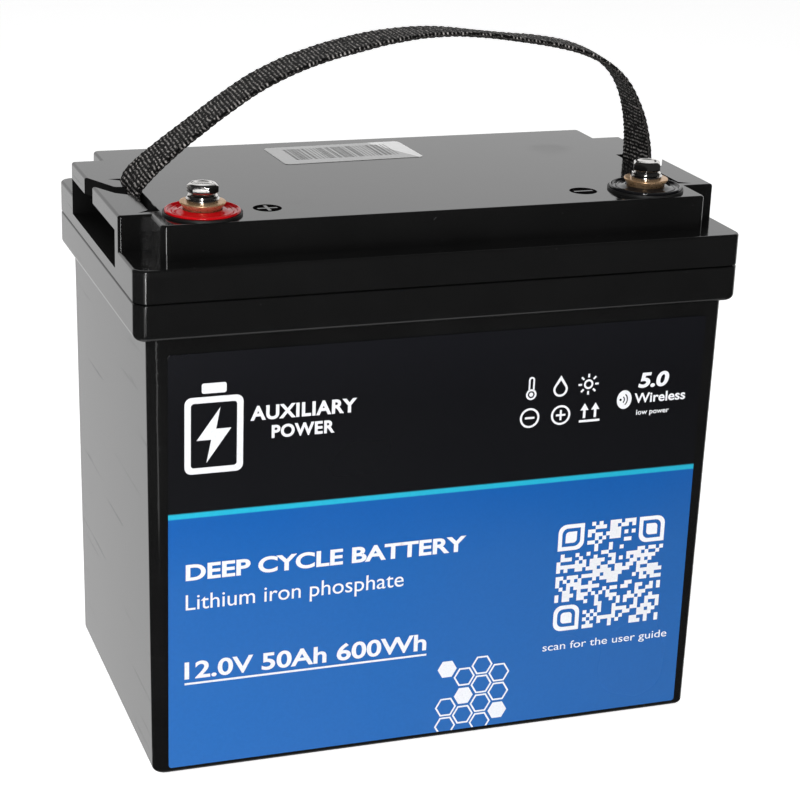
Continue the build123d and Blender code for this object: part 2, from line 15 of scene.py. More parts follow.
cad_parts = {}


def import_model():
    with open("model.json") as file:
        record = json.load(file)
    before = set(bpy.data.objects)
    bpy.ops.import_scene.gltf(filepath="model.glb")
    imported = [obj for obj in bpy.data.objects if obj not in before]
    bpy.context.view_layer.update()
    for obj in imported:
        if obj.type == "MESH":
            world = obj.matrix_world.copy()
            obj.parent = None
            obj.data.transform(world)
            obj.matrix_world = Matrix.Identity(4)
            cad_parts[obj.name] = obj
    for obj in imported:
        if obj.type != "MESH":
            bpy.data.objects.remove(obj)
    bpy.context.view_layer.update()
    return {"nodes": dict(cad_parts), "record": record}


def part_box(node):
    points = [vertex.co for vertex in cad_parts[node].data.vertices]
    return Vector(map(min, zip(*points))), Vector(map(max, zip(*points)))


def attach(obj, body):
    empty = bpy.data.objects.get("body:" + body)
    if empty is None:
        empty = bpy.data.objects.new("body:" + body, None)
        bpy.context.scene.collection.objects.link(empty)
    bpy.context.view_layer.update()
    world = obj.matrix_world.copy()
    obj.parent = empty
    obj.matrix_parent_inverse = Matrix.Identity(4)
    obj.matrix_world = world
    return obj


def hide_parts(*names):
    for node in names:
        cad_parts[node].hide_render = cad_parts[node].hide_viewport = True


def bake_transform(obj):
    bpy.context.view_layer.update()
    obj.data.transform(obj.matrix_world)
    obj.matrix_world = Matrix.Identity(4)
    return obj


MM = 0.001
TAU = 2 * math.pi

# ---- label and sticker, in millimetres; the print is drawn in (x, height) --------
LABEL_FACE_Y = -67.3
LABEL_FOOT_Z = 2.4
LABEL_TOP_Z = 163.6
STRIPE_LOW_Z = 102.0
STRIPE_HIGH_Z = 103.8
PRINT_THICKNESS = 0.05
PRINT_SUNK = 0.012               # how far the print reaches into the film
CODE_X = 48.6                    # low left corner of the square code
CODE_Z = 39.3
CODE_SIZE = 44.6
CODE_MODULES = 29
CODE_MARK_MODULES = 7            # side of a corner mark
HEXAGON_PITCH = 8.1
STICKER_TURN = 2.4               # degrees
BAR_FIELD = (-22.0, 21.0, -8.0, 10.0)    # the bars' reach on the sticker: x and y
BAR_WIDTHS = (0.35, 0.35, 0.7, 1.05)
BAR_GAPS = (0.4, 0.75, 1.1)

# ---- case ------------------------------------------------------------------------
LID_TOP_Z = 207.6
GAP_Z = (182.41, 183.09)         # shadow gap between container and lid
POCKET_X = (95.0, 114.9)         # pockets and strap slots at both ends
POCKET_Z = (187.0, 207.2)
POCKET_MIDDLE_Y = 2.2
POCKET_REACH_Y = 42.0

# ---- strap ---------------------------------------------------------------------
STRAP_WIDTH = 22.4
STRAP_THICKNESS = 2.3
STRAP_Y = -1.9
STRAP_X = 100.8
STRAP_STEP = 0.42                # spacing of the mesh's points
BAR_Z = 194.3
BAR_LOOP_RADIUS = 3.7
RIB_PITCH = 1.55
RIB_SLANT = 0.06                 # along for each millimetre across
WARP_PITCH = 1.22
RIB_HEIGHT = 0.5
RIB_SUNK = 0.40                  # foot of the ribs below the band's nominal face
SCALLOP = 0.2                    # how far the ribs push the band's edges out and in
EDGE_SQUARENESS = 22             # power of the curve that rounds the band's edges
UNDERSIDE_SHIFT = 0.7            # of the weave below against the weave above
UNDERSIDE_UV = 60                # across, so that the two faces do not share a pattern
ARCH = [(-102, 207), (-98, 213), (-78, 229), (-52, 246), (-20, 257), (14, 261.5),
        (46, 258.5), (76, 252.5), (91, 243), (100, 225), (102, 207)]
# twist of the webbing: share of the way along the arch, and degrees
LEAN = [(0.0, 6), (0.12, 0), (0.4, 1), (0.62, -6), (0.87, 7), (1.0, -3)]
LEAN_EVENED = 31                 # steps over which the lean is evened out
LEAN_FOOT_Z = 203.0              # none below this height, all of it above the next
LEAN_FULL_Z = 207.0

# ---- terminals -------------------------------------------------------------------
TERMINALS = {"positive": -85.5, "negative": 85.5}
HEAD_TURNS = {"positive": 9, "negative": -24}
SPLIT_TURNS = {"positive": 200, "negative": 305}
TERMINAL_Y = -44.6
PAD_TOP_Z = 212.2
SEAT_Z = LID_TOP_Z + 0.8         # top of the O-ring, where the coloured ring sits
HEAD_ACROSS = 9.75
THREAD_PITCH = 1.0
THREAD_ROOT = 2.45               # radii
THREAD_CREST = 2.93

# ---- studio: metres and watts ------------------------------------------------------
WORLD_FRONT = 0.03
WORLD_REAR = 1.15
WORLD_BELOW = 0.9
CAMERA_PLACE = (-0.2649, -0.7466, 0.3950)
CAMERA_YAW, CAMERA_PITCH, CAMERA_ROLL = -18.83, 19.44, 1.69     # degrees
CAMERA_LENS = 95.35
CAMERA_SHIFT = (0.0513, -0.00075)


# ---- nodes ---------------------------------------------------------------------
class Surface:
    """One material's node tree, with short calls for adding nodes to it."""

    def __init__(self, name):
        self.material = bpy.data.materials.new(name)
        self.material.use_nodes = True
        self.tree = self.material.node_tree
        self.shader = self.tree.nodes["Principled BSDF"]

    def node(self, kind, sockets=None, **settings):
        made = self.tree.nodes.new("ShaderNode" + kind)
        for key, value in settings.items():
            setattr(made, key, value)
        for key, value in (sockets or {}).items():
            self.put(made, key, value)
        return made

    def put(self, node, key, value):
        """Sets a socket to a number or colour, or joins another node's output to it."""
        socket = node.inputs[key]
        if isinstance(value, bpy.types.NodeSocket):
            self.tree.links.new(value, socket)
        else:
            socket.default_value = value

    def set(self, **values):
        """Sets the shader's sockets; an underscore in a name stands for a space."""
        for key, value in values.items():
            self.put(self.shader, key.replace("_", " "), value)
        return self.material

    def place(self):
        return self.node("TexCoord").outputs["Object"]

    def noise(self, scale, detail=3.0, roughness=0.5, vector=None, stretch=None):
        vector = vector or self.place()
        if stretch:
            vector = self.node("Mapping", {"Vector": vector, "Scale": stretch}).outputs[0]
        sockets = {"Vector": vector, "Scale": scale, "Detail": detail, "Roughness": roughness}
        return self.node("TexNoise", sockets).outputs["Fac"]

    def cells(self, scale, vector=None):
        """Distance from the nearest of many scattered points."""
        sockets = {"Vector": vector or self.place(), "Scale": scale}
        return self.node("TexVoronoi", sockets).outputs["Distance"]

    def span(self, value, low, high, out_low=0.0, out_high=1.0):
        """Takes the stretch low to high of a value to out_low to out_high, and stops there."""
        sockets = {"Value": value, "From Min": low, "From Max": high,
                   "To Min": out_low, "To Max": out_high}
        return self.node("MapRange", sockets).outputs["Result"]

    def sums(self, operation, a, b):
        return self.node("Math", {0: a, 1: b}, operation=operation).outputs[0]

    def mix(self, factor, a, b, blend="MIX"):
        made = self.node("Mix", data_type="RGBA", blend_type=blend)
        self.put(made, "Factor", factor)
        self.put(made, "A", colour(a))
        self.put(made, "B", colour(b))
        return made.outputs["Result"]

    def ramp(self, factor, stops):
        made = self.node("ValToRGB", {"Fac": factor})
        elements = made.color_ramp.elements
        while len(elements) < len(stops):
            elements.new(0.5)
        for element, (position, shade) in zip(elements, stops):
            element.position = position
            element.color = colour(shade)
        return made.outputs["Color"]

    def bump(self, height, depth, strength=1.0, under=None):
        """Bump of a real depth in metres."""
        sockets = {"Height": height, "Distance": depth, "Strength": strength}
        made = self.node("Bump", sockets)
        if under:
            self.put(made, "Normal", under)
        return made.outputs["Normal"]


def colour(value):
    """A socket as it is, a grey from one number, or a colour from three."""
    if isinstance(value, bpy.types.NodeSocket):
        return value
    if isinstance(value, (int, float)):
        return (value, value, value, 1.0)
    return (*value, 1.0)


# ---- materials -------------------------------------------------------------------
def finish(name, base, roughness=0.5, grain=900.0, relief=0.02, stretch=None, spread=0.15):
    """A plain finish: a base colour that varies a little, uneven gloss and fine grain."""
    s = Surface(name)
    broad = s.noise(45.0, 4.0)
    fine = s.noise(grain, 5.0, 0.6, stretch=stretch)
    darker = [c * (1 - spread) for c in base]
    lighter = [min(1.0, c * (1 + spread)) for c in base]
    tone = s.mix(s.span(broad, 0.3, 0.7), darker, lighter)
    tone = s.mix(s.span(fine, 0.25, 0.75, 0.0, spread), tone, darker)
    rough = s.span(fine, 0.3, 0.7, roughness * 0.85, min(1.0, roughness * 1.15))
    return s.set(Base_Color=tone, Roughness=rough, Normal=s.bump(fine, relief * MM))


def case_plastic():
    """Glossy black moulded plastic with faint haze, dust and hair scratches."""
    s = Surface("case_plastic")
    cloud = s.noise(28.0, 5.0, 0.6)
    orange_peel = s.noise(420.0, 2.0, 0.4)
    scratch = s.noise(260.0, 2.0, 0.4, stretch=(0.06, 0.06, 1.6))
    scratch = s.span(scratch, 0.66, 0.72)
    dust = s.span(s.cells(430.0), 0.075, 0.045)
    dust = s.sums("MULTIPLY", dust, s.span(s.noise(60.0, 2.0), 0.55, 0.7))
    tone = s.mix(s.span(cloud, 0.3, 0.75), 0.0055, 0.0085)
    tone = s.mix(s.sums("MULTIPLY", dust, 0.35), tone, 0.3)
    rough = s.span(cloud, 0.3, 0.7, 0.07, 0.12)
    rough = s.sums("ADD", rough, s.sums("MULTIPLY", scratch, 0.12))
    rough = s.sums("ADD", rough, s.sums("MULTIPLY", dust, 0.4))
    # painted shade: the hollows lose most of their gloss, so they read darker than the rest of the
    # case
    hollow_shade = hollows(s)
    rough = s.sums("ADD", rough, s.sums("MULTIPLY", hollow_shade, 0.5))
    peel = s.bump(orange_peel, 0.006 * MM)
    normal = s.bump(scratch, 0.004 * MM, under=peel)
    return s.set(Base_Color=tone, Roughness=rough, Normal=normal, IOR=1.5,
                 Specular_IOR_Level=s.span(hollow_shade, 0.0, 1.0, 0.5, 0.06))


def hollows(s):
    """One inside the shadow gap, the strap slots and the pockets; it raises the roughness there and
    cuts the gloss, which paints shade into these hollows.
    """
    split = s.node("SeparateXYZ", {"Vector": s.place()})
    x = s.sums("ABSOLUTE", split.outputs["X"], 0.0)
    y = s.sums("ABSOLUTE", s.sums("SUBTRACT", split.outputs["Y"], POCKET_MIDDLE_Y * MM), 0.0)
    z = split.outputs["Z"]

    def between(value, limits):
        above = s.sums("GREATER_THAN", value, limits[0] * MM)
        return s.sums("MULTIPLY", above, s.sums("LESS_THAN", value, limits[1] * MM))

    pocket = s.sums("MULTIPLY", between(x, POCKET_X), between(z, POCKET_Z))
    pocket = s.sums("MULTIPLY", pocket, s.sums("LESS_THAN", y, POCKET_REACH_Y * MM))
    return s.sums("MAXIMUM", between(z, GAP_Z), pocket)


def label_film():
    """Laminated label: black above, a cyan line, blue below that lightens to its foot."""
    s = Surface("label_film")
    split = s.node("SeparateXYZ", {"Vector": s.place()})
    low, high = STRIPE_LOW_Z / LABEL_TOP_Z, STRIPE_HIGH_Z / LABEL_TOP_Z
    edge = 0.0012
    tone = s.ramp(s.span(split.outputs["Z"], 0.0, LABEL_TOP_Z * MM),
                  [(0.0, (0.024, 0.155, 0.49)), (0.45, (0.014, 0.132, 0.455)),
                   (low - edge, (0.002, 0.110, 0.44)), (low, (0.012, 0.48, 0.68)),
                   (high - edge, (0.012, 0.48, 0.68)), (high, (0.0075, 0.0078, 0.0095)),
                   (0.85, (0.0068, 0.0070, 0.0088)), (1.0, (0.0085, 0.0088, 0.0115))])
    # painted sheen: the film is lighter to the left and darker to the right
    shade = s.span(split.outputs["X"], -0.105, 0.105, 1.04, 0.86)
    grey = s.node("CombineColor", {0: shade, 1: shade, 2: shade}).outputs[0]
    tone = s.mix(1.0, tone, grey, "MULTIPLY")
    mottle = s.noise(900.0, 3.0)
    tone = s.mix(s.span(mottle, 0.3, 0.7, 0.0, 0.05), tone, 0.0)
    wave = s.noise(16.0, 2.0, 0.4)
    film = s.bump(wave, 0.08 * MM, 0.35)
    normal = s.bump(mottle, 0.003 * MM, under=film)
    return s.set(Base_Color=tone, Roughness=s.span(wave, 0.3, 0.7, 0.2, 0.28), Normal=normal,
                 Specular_IOR_Level=0.35)


def print_ink():
    """White ink under the laminate, slightly uneven."""
    s = Surface("print_white")
    patchy = s.noise(1500.0, 4.0, 0.6)
    tone = s.mix(s.span(patchy, 0.3, 0.7), (0.80, 0.81, 0.84), (0.90, 0.90, 0.92))
    return s.set(Base_Color=tone, Roughness=s.span(patchy, 0.3, 0.7, 0.25, 0.35),
                 Normal=s.bump(patchy, 0.002 * MM), Specular_IOR_Level=0.3)


def sticker_paper():
    """Coated paper: grey over most of its length, white at one end, with a faint fibre."""
    s = Surface("sticker_paper")
    fibre = s.noise(1800.0, 5.0, 0.6)
    split = s.node("SeparateXYZ", {"Vector": s.place()})
    slant = s.sums("ADD", split.outputs["X"], s.sums("MULTIPLY", split.outputs["Y"], 0.45))
    white_end = s.span(slant, 0.0296, 0.0302)
    paper = s.mix(s.span(fibre, 0.3, 0.7), 0.25, 0.29)
    tone = s.mix(white_end, paper, 1.0)
    return s.set(Base_Color=tone, Roughness=s.span(fibre, 0.3, 0.7, 0.3, 0.42),
                 Normal=s.bump(fibre, 0.004 * MM), Specular_IOR_Level=0.4, Coat_Weight=1.0,
                 Coat_Roughness=0.15)


def sticker_ink():
    """Grey bars, worn in places."""
    s = Surface("sticker_ink")
    worn = s.noise(2400.0, 4.0, 0.6)
    tone = s.mix(s.span(worn, 0.35, 0.7), 0.14, 0.26)
    return s.set(Base_Color=tone, Roughness=s.span(worn, 0.3, 0.7, 0.35, 0.5),
                 Normal=s.bump(worn, 0.002 * MM))


def webbing():
    """Black webbing: painted highlights along rows of weft threads, broken up by the warp, and
    painted shade where the weave sinks.
    """
    s = Surface("webbing")
    raised = s.node("Attribute", attribute_name="raised").outputs["Fac"]
    uv = s.node("TexCoord").outputs["UV"]
    split = s.node("SeparateXYZ", {"Vector": uv})
    wobble = s.noise(1.0, 2.0, 0.5, vector=uv, stretch=(170.0, 260.0, 1.0))
    slant = s.sums("MULTIPLY", split.outputs["Y"], -RIB_SLANT)
    along = s.sums("ADD", s.sums("ADD", split.outputs["X"], slant),
                   s.sums("MULTIPLY", wobble, 1.6 * MM))
    share = s.sums("FRACT", s.sums("DIVIDE", along, RIB_PITCH * MM), 0.0)
    weft = s.span(s.sums("ABSOLUTE", s.sums("SUBTRACT", share, 0.5), 0.0), 0.24, 0.38)
    broken = s.span(s.noise(1.0, 2.0, 0.6, vector=uv, stretch=(420.0, 700.0, 1.0)), 0.44, 0.60)
    hair = s.noise(1.0, 3.0, 0.7, vector=uv, stretch=(900.0, 5200.0, 1.0))
    threads = s.sums("MULTIPLY", weft, broken)
    painted_glint = s.sums("MULTIPLY", threads, s.span(hair, 0.38, 0.62, 0.25, 1.0))
    # painted shade: darker where the weave sinks and at the band's edges, lighter on its crests
    tone = s.mix(s.span(raised, 0.3, 0.9), (0.0030, 0.0028, 0.0028), (0.011, 0.0105, 0.010))
    # painted highlight: pale glints along the weft threads
    tone = s.mix(painted_glint, tone, (0.56, 0.53, 0.51))
    height = s.sums("ADD", s.sums("MULTIPLY", weft, 0.7), s.sums("MULTIPLY", hair, 0.3))
    return s.set(Base_Color=tone, Roughness=s.span(hair, 0.3, 0.7, 0.5, 0.75),
                 Normal=s.bump(height, 0.16 * MM), Specular_IOR_Level=0.12)


def metal(name, low, high, roughness, stretch=None, metallic=1.0):
    """Machined metal with drawn or turned marks and a little tarnish."""
    s = Surface(name)
    marks = s.noise(700.0, 4.0, 0.6, stretch=stretch)
    tarnish = s.noise(180.0, 4.0, 0.6)
    tone = s.mix(s.span(tarnish, 0.35, 0.65), low, high)
    rough = s.span(marks, 0.3, 0.7, roughness * 0.7, roughness * 1.35)
    return s.set(Base_Color=tone, Metallic=metallic, Roughness=rough,
                 Normal=s.bump(marks, 0.006 * MM))


def red_plastic():
    """Glossy red plastic of the positive ring."""
    s = Surface("red_plastic")
    cloud = s.noise(160.0, 3.0)
    tone = s.mix(s.span(cloud, 0.3, 0.7), (0.44, 0.002, 0.005), (0.56, 0.005, 0.009))
    return s.set(Base_Color=tone, Roughness=s.span(cloud, 0.3, 0.7, 0.08, 0.14),
                 Normal=s.bump(s.noise(900.0, 2.0), 0.004 * MM), Specular_IOR_Level=0.3)


def circuit_board():
    """Green solder mask with pads, traces and through holes."""
    s = Surface("circuit_board")
    place = s.place()
    split = s.node("SeparateXYZ", {"Vector": place})
    flat = s.node("CombineXYZ", {0: split.outputs["Y"], 1: split.outputs["Z"]}).outputs[0]
    traces = s.node("TexBrick", {"Vector": flat, "Scale": 160.0, "Mortar Size": 0.09})
    mask = s.mix(traces.outputs["Fac"], (0.004, 0.075, 0.025), (0.010, 0.16, 0.055))
    pads = s.span(s.cells(240.0, flat), 0.20, 0.17)
    tone = s.mix(pads, mask, (0.75, 0.72, 0.66))
    return s.set(Base_Color=tone, Roughness=s.span(pads, 0.0, 1.0, 0.35, 0.22),
                 Metallic=s.span(pads, 0.0, 1.0, 0.0, 1.0), Normal=s.bump(pads, 0.03 * MM))


def materials():
    """Every material by the record's slot name."""
    made = {
        "case_plastic": case_plastic(),
        "label_film": label_film(),
        "sticker_paper": sticker_paper(),
        "webbing": webbing(),
        "red_plastic": red_plastic(),
        "circuit_board": circuit_board(),
        "brass": metal("brass", (0.56, 0.33, 0.16), (0.72, 0.48, 0.28), 0.3, metallic=0.7),
        "plated_steel": metal("plated_steel", (0.66, 0.64, 0.62), (0.86, 0.84, 0.82), 0.13),
        "cell_can": metal("cell_can", (0.62, 0.63, 0.64), (0.74, 0.75, 0.76), 0.34,
                          (0.1, 0.1, 1.0)),
        "band_steel": metal("band_steel", (0.46, 0.46, 0.46), (0.6, 0.6, 0.6), 0.28,
                            (0.1, 0.1, 1.0)),
        "copper": metal("copper", (0.70, 0.30, 0.17), (0.85, 0.45, 0.28), 0.27),
        "tinned_copper": metal("tinned_copper", (0.60, 0.59, 0.57), (0.74, 0.73, 0.71), 0.33),
        "bare_aluminium": metal("bare_aluminium", (0.7, 0.71, 0.72), (0.8, 0.81, 0.82), 0.3,
                                (1.0, 1.0, 0.06)),
        "spacer_brass": metal("spacer_brass", (0.60, 0.44, 0.20), (0.74, 0.58, 0.30), 0.25),
    }
    plain = {
        "sealant": dict(base=(0.03, 0.03, 0.03), roughness=0.45, relief=0.05),
        "bar_plastic": dict(base=(0.014, 0.014, 0.014), roughness=0.38, relief=0.03),
        "dark_plastic": dict(base=(0.008, 0.008, 0.009), roughness=0.1, relief=0.004,
                             grain=500.0),
        "rubber": dict(base=(0.012, 0.012, 0.012), roughness=0.5, relief=0.02),
        "insulation": dict(base=(0.03, 0.12, 0.34), roughness=0.4, relief=0.02),
        "end_board": dict(base=(0.30, 0.33, 0.16), roughness=0.55, relief=0.05, grain=600.0,
                          stretch=(0.2, 1.0, 1.0)),
        "foam": dict(base=(0.05, 0.05, 0.055), roughness=0.95, relief=0.3, grain=500.0),
        "chip_black": dict(base=(0.015, 0.015, 0.016), roughness=0.5, relief=0.02),
        "cable_red": dict(base=(0.48, 0.015, 0.012), roughness=0.35, relief=0.03,
                          grain=400.0),
        "cable_black": dict(base=(0.012, 0.012, 0.012), roughness=0.35, relief=0.03,
                            grain=400.0),
    }
    for name, look in plain.items():
        made[name] = finish(name, **look)
    return made


# ---- meshes ------------------------------------------------------------------------
def add_object(name, mesh, material, body=None):
    obj = bpy.data.objects.new(name, mesh)
    bpy.context.scene.collection.objects.link(obj)
    mesh.materials.clear()
    mesh.materials.append(material)
    if body:
        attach(obj, body)
    return obj


def smooth(mesh, degrees=35):
    mesh.polygons.foreach_set("use_smooth", [True] * len(mesh.polygons))
    mesh.set_sharp_from_angle(angle=math.radians(degrees))


def grid_mesh(name, rows, closed_rows=False, closed_columns=True, caps=False):
    """Mesh over an array of points: rows by columns by three, in metres."""
    count, width = rows.shape[:2]
    mesh = bpy.data.meshes.new(name)
    faces = []
    for i in range(count if closed_rows else count - 1):
        j = (i + 1) % count
        for k in range(width if closed_columns else width - 1):
            m = (k + 1) % width
            faces.append((i * width + k, i * width + m, j * width + m, j * width + k))
    if caps:
        faces.append(tuple(range(width - 1, -1, -1)))
        faces.append(tuple((count - 1) * width + k for k in range(width)))
    mesh.from_pydata(rows.reshape(-1, 3).tolist(), [], faces)
    mesh.update()
    return mesh


def lathe(name, profile, x, y, steps=96):
    """Closed (radius, height) outline turned about an upright axis, in millimetres."""
    angles = np.arange(steps) * TAU / steps
    rows = np.empty((steps, len(profile), 3))
    for k, (radius, height) in enumerate(profile):
        rows[:, k, 0] = x + radius * np.cos(angles)
        rows[:, k, 1] = y + radius * np.sin(angles)
        rows[:, k, 2] = height
    mesh = grid_mesh(name, rows * MM, closed_rows=True)
    smooth(mesh)
    return mesh


def joined(name, meshes):
    """One mesh from several, which are removed."""
    made = bmesh.new()
    for mesh in meshes:
        made.from_mesh(mesh)
        bpy.data.meshes.remove(mesh)
    result = bpy.data.meshes.new(name)
    made.to_mesh(result)
    made.free()
    return result


# ---- terminals ---------------------------------------------------------------------
def arc(x, z, radius, start, stop, steps=6):
    """Points of an arc, in degrees."""
    angles = [math.radians(start + (stop - start) * i / steps) for i in range(steps + 1)]
    return [(x + radius * math.cos(a), z + radius * math.sin(a)) for a in angles]


def insert_profile():
    """Brass insert: stem, body in the lid and a flared collar, bored for the bolt."""
    top = PAD_TOP_Z
    outline = [(3.05, 184.0), (4.7, 184.0), (5.0, 184.3), (5.0, 198.6), (6.9, 198.6),
               (7.0, 198.8), (7.0, 207.4), (6.5, 208.0), (6.5, 209.0), (6.9, 209.7),
               (7.6, 210.7)]
    outline += arc(7.85, top - 0.4, 0.4, -20, 90)
    outline += [(3.5, top), (3.05, top - 0.45)]
    return outline


def ring_profile():
    """Dished plastic ring with a rolled rim."""
    seat = SEAT_Z
    outline = [(7.0, seat), (13.1, seat)]
    outline += arc(13.2, seat + 0.35, 0.35, -80, 0, 4)
    outline += arc(13.0, seat + 0.5, 0.5, 0, 115, 6)
    outline += [(12.55, seat + 0.75), (12.2, seat + 0.25), (11.2, seat + 0.2)]
    outline += [(11.0, seat + 0.5), (10.7, seat + 0.55), (10.5, seat + 0.3), (9.6, seat + 0.3)]
    outline += [(8.8, seat + 0.6), (8.1, seat + 0.95), (7.6, seat + 1.08), (7.1, seat + 1.05)]
    outline += [(7.0, seat + 0.95)]
    return outline


def hex_head(x, y, foot, height, turn):
    """Hexagon head with a dished top, chamfered corners and a washer face."""
    steps = 180
    angles = np.arange(steps) * TAU / steps
    phase = (angles + math.radians(30)) % math.radians(60) - math.radians(30)
    half = HEAD_ACROSS / 2
    flat = half / np.cos(phase)
    chamfer_radius = half * 0.93
    drop = np.maximum(flat - chamfer_radius, 0) * math.tan(math.radians(38))
    top = foot + height
    rings = [(0.02, top - 0.42), (2.5, top - 0.42), (3.1, top - 0.3), (3.45, top - 0.02),
             (3.7, top), (chamfer_radius * 0.96, top), (chamfer_radius, top - 0.06),
             (flat * 0.975, top - drop - 0.02), (flat * 0.994, top - drop - 0.16),
             (flat, top - drop - 0.34), (flat, foot + 0.55 + drop * 0.5),
             (flat * 0.985, foot + 0.42 + drop * 0.5), (half * 0.95, foot + 0.3),
             (half * 0.94, foot), (2.9, foot)]
    turned = angles + math.radians(turn)
    rows = np.empty((steps, len(rings), 3))
    for k, (radius, z) in enumerate(rings):
        rows[:, k, 0] = x + radius * np.cos(turned)
        rows[:, k, 1] = y + radius * np.sin(turned)
        rows[:, k, 2] = z
    mesh = grid_mesh("head", rows * MM, closed_rows=True, closed_columns=False)
    smooth(mesh, 40)
    return mesh


def threaded_shank(x, y, top, reach):
    """Shank with a helical thread, inside the hole's radius."""
    per_turn, per_pitch = 48, 8
    lines = int(reach / THREAD_PITCH * per_pitch)
    angles = np.arange(per_turn) * TAU / per_turn
    depth = THREAD_CREST - THREAD_ROOT
    rows = np.empty((lines + 2, per_turn, 3))
    for i in range(lines + 1):
        z = top - reach + i * THREAD_PITCH / per_pitch
        turn = (z / THREAD_PITCH - angles / TAU) % 1.0
        tooth = np.abs(turn - 0.5) * 2
        taper = min(1.0, 0.15 + (z - (top - reach)) / 1.2)
        radius = THREAD_ROOT + depth * np.clip(1.25 * tooth - 0.1, 0, 1) * taper
        radius = radius - (0.5 * (1 - taper))
        rows[i, :, 0] = x + radius * np.cos(angles)
        rows[i, :, 1] = y + radius * np.sin(angles)
        rows[i, :, 2] = z
    rows[-1] = rows[-2] + np.array([0, 0, 0.3])
    mesh = grid_mesh("shank", rows * MM, caps=True)
    smooth(mesh, 50)
    return mesh


def spring_washer(x, y, foot, height, split_turn):
    """Square wire wound once, its two ends apart by a slanted gap."""
    inner, outer, edge = 3.25, 5.4, 0.18
    rise = 0.25                     # of one end over the other
    steps, gap = 90, math.radians(9)
    thick = height - rise
    bevel = edge / 0.72 * thick
    section = [(inner + edge, 0.0), (outer - edge, 0.0), (outer, bevel), (outer, thick - bevel),
               (outer - edge, thick), (inner + edge, thick), (inner, thick - bevel), (inner, bevel)]
    rows = np.empty((steps + 1, len(section), 3))
    for i in range(steps + 1):
        share = i / steps
        for k, (radius, z) in enumerate(section):
            slant = 0.10 * (z / height)
            a = math.radians(split_turn) + gap / 2 + (TAU - gap) * share + slant
            rows[i, k] = (x + radius * math.cos(a), y + radius * math.sin(a),
                          foot + z + rise * share)
    mesh = grid_mesh("spring", rows * MM, caps=True)
    smooth(mesh, 30)
    return mesh


def build_terminals(looks):
    """Insert, ring, spring washer and bolt at each end, in place of the CAD ones."""
    for side, x in TERMINALS.items():
        ring_slot = "red_plastic" if side == "positive" else "dark_plastic"
        turned = lathe("insert", insert_profile(), x, TERMINAL_Y)
        piece = add_object(f"{side}_insert_turned", turned, looks["brass"], "case")
        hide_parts(f"{side}_insert")

        dish = lathe("ring", ring_profile(), x, TERMINAL_Y, 144)
        piece = add_object(f"{side}_ring_dished", dish, looks[ring_slot], "case")
        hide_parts(f"{side}_ring")

        low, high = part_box(f"{side}_spring_washer")
        foot, height = low.z / MM, (high.z - low.z) / MM
        piece = add_object(f"{side}_spring_washer_wound",
                           spring_washer(x, TERMINAL_Y, foot, height, SPLIT_TURNS[side]),
                           looks["plated_steel"], f"{side}_washers")
        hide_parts(f"{side}_spring_washer")

        low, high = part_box(f"{side}_bolt")
        head_foot = foot + height
        head = hex_head(x, TERMINAL_Y, head_foot, high.z / MM - head_foot, HEAD_TURNS[side])
        shank = threaded_shank(x, TERMINAL_Y, head_foot, head_foot - low.z / MM)
        piece = add_object(f"{side}_bolt_threaded", joined("bolt", [head, shank]),
                           looks["plated_steel"], f"{side}_bolt_body")
        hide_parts(f"{side}_bolt")


# ---- strap -------------------------------------------------------------------------
def smooth_through(points, step):
    """Points a step apart on the natural cubic spline through a list of points."""
    points = np.array(points, float)
    gaps = np.linalg.norm(np.diff(points, axis=0), axis=1)
    knots = np.concatenate([[0], np.cumsum(gaps)])
    count = len(points)
    system = np.eye(count)
    right = np.zeros_like(points)
    for i in range(1, count - 1):
        before, after = gaps[i - 1], gaps[i]
        system[i, i - 1:i + 2] = before, 2 * (before + after), after
        slopes = (points[i + 1] - points[i]) / after, (points[i] - points[i - 1]) / before
        right[i] = 6 * (slopes[0] - slopes[1])
    bends = np.linalg.solve(system, right)
    fine = np.linspace(0, knots[-1], int(knots[-1] / step * 4))
    span = np.clip(np.searchsorted(knots, fine, side="right") - 1, 0, count - 2)
    width = gaps[span]
    a = ((knots[span + 1] - fine) / width)[:, None]
    b = 1 - a
    curve = a * points[span] + b * points[span + 1]
    bowed = (a ** 3 - a) * bends[span] + (b ** 3 - b) * bends[span + 1]
    curve += bowed * (width ** 2)[:, None] / 6
    length = np.concatenate([[0], np.cumsum(np.linalg.norm(np.diff(curve, axis=0), axis=1))])
    even = np.arange(0, length[-1], step)
    return np.stack([np.interp(even, length, curve[:, k]) for k in range(2)], axis=1)


def strap_route():
    """Middle line of the webbing: round the left bar, over the arch, round the right bar."""
    loop = [(-99.75, 200.6)]
    loop += [(-STRAP_X + BAR_LOOP_RADIUS * math.cos(a), BAR_Z + BAR_LOOP_RADIUS * math.sin(a))
             for a in (math.radians(d) for d in (15, -30, -80, -130, -180))]
    loop += [(-103.6, 198.0), (-101.9, 202.8)]
    right = [(-x, z) for x, z in reversed(loop)]
    return loop + ARCH + right


def weave_height(along, across):
    """Relief of the woven face from 0 to 1: slanted ribs broken up by lengthwise threads."""
    column = across / WARP_PITCH
    index = np.floor(column)
    rng = np.random.default_rng(7)
    offsets = rng.uniform(-0.12, 0.12, 64)
    jitter = offsets[(index.astype(int) + 32) % 64]
    ribs = (along - RIB_SLANT * across) / RIB_PITCH
    wide = 0.5 + 0.5 * np.cos(TAU * (ribs / 2 + jitter))
    narrow = 0.5 + 0.5 * np.cos(TAU * (ribs + jitter + 0.5 * (index % 2)))
    thread = np.abs(np.sin(np.pi * column)) ** 0.6
    wander = 0.5 + 0.5 * np.sin(along * 0.31 + 2.0 * np.sin(across * 0.45 + along * 0.07))
    height = 0.50 * wide ** 1.3 + 0.32 * narrow + 0.18 * wander
    return np.clip(height * (0.35 + 0.65 * thread), 0, 1)


